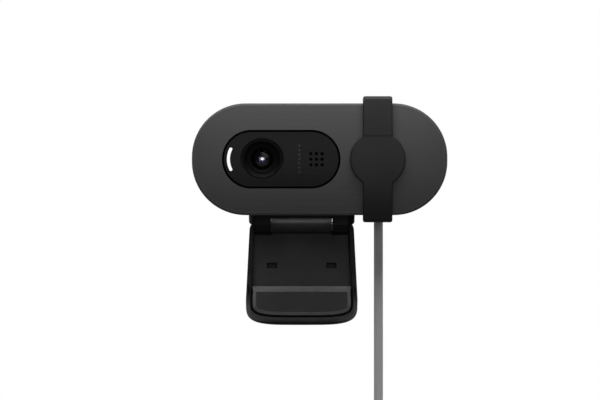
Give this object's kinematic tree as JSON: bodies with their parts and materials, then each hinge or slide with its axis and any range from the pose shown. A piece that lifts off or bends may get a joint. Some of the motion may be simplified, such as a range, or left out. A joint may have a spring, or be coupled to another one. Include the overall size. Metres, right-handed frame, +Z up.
{
  "type": "webcam",
  "caption": "Clip-on webcam: pill-shaped head with a sliding privacy band, tilting on a fold-out screen clip, with a coiled USB cable.",
  "frame": {"origin": "on the clip's seat, the underside that rests on a screen's top edge, straight below the head's tilt axis and on the clip's middle", "axes": "-Y is where the lens looks, +X is to the right of someone facing the lens, +Z is up"},
  "size_m": [0.0761, 0.0427, 0.192],
  "materials": {
    "graphite_shell": "fine satin graphite plastic",
    "band_shell": "darker satin graphite plastic",
    "black_face": "satin black",
    "black_gloss": "polished black",
    "black_matte": "matte black",
    "lens_glass": "coated optical glass",
    "filter_glass": "coated filter glass",
    "chip": "sensor package",
    "board": "green solder resist",
    "steel": "plain steel",
    "white_led": "LED package",
    "white_light": "lit white diffuser",
    "mic_metal": "gold-plated can",
    "rubber": "soft dark rubber",
    "header": "off-white nylon",
    "cable_black": "black overmould",
    "cable_grey": "grey cable jacket",
    "clip_black": "satin black plastic"
  },
  "bodies": {
    "clip": {"clip_base": "clip_black", "seat_pads": "rubber", "leg_pin": "steel"},
    "shutter": {"shutter_band": "band_shell"},
    "leg": {"leg_panel": "clip_black", "leg_shell": "clip_black", "leg_pad": "rubber"},
    "head": {"front_housing": "graphite_shell", "rear_housing": "graphite_shell", "face_plate": "black_face", "lens_bezel": "black_gloss", "lens_barrel": "black_gloss", "front_lens": "lens_glass", "rear_lens": "lens_glass", "lens_holder": "black_matte", "ir_filter": "filter_glass", "image_sensor": "chip", "main_board": "board", "board_screws": "steel", "led": "white_led", "light_guide": "white_light", "microphone": "mic_metal", "mic_boot": "rubber", "cable_header": "header", "cable_gland": "cable_black", "tilt_pin": "steel", "tilt_washers": "steel", "usb_cable": "cable_grey", "cable_coil": "cable_grey", "coil_tie": "cable_black", "plug_body": "cable_black", "plug_shell": "steel", "plug_insert": "header"}
  },
  "joints": [
    {"name": "head_tilt", "type": "hinge", "parent": "clip", "child": "head", "pos_m": [0, 0, 0.0048], "axis": [1, 0, 0], "range_deg": [-20, 15]},
    {"name": "shutter_slide", "type": "slide", "parent": "head", "child": "shutter", "axis": [-1, 0, 0], "range_m": [0, 0.0328]},
    {"name": "leg_fold", "type": "hinge", "parent": "clip", "child": "leg", "pos_m": [0, 0.021, -0.0022], "axis": [1, 0, 0], "range_deg": [-75, 90]}
  ]
}
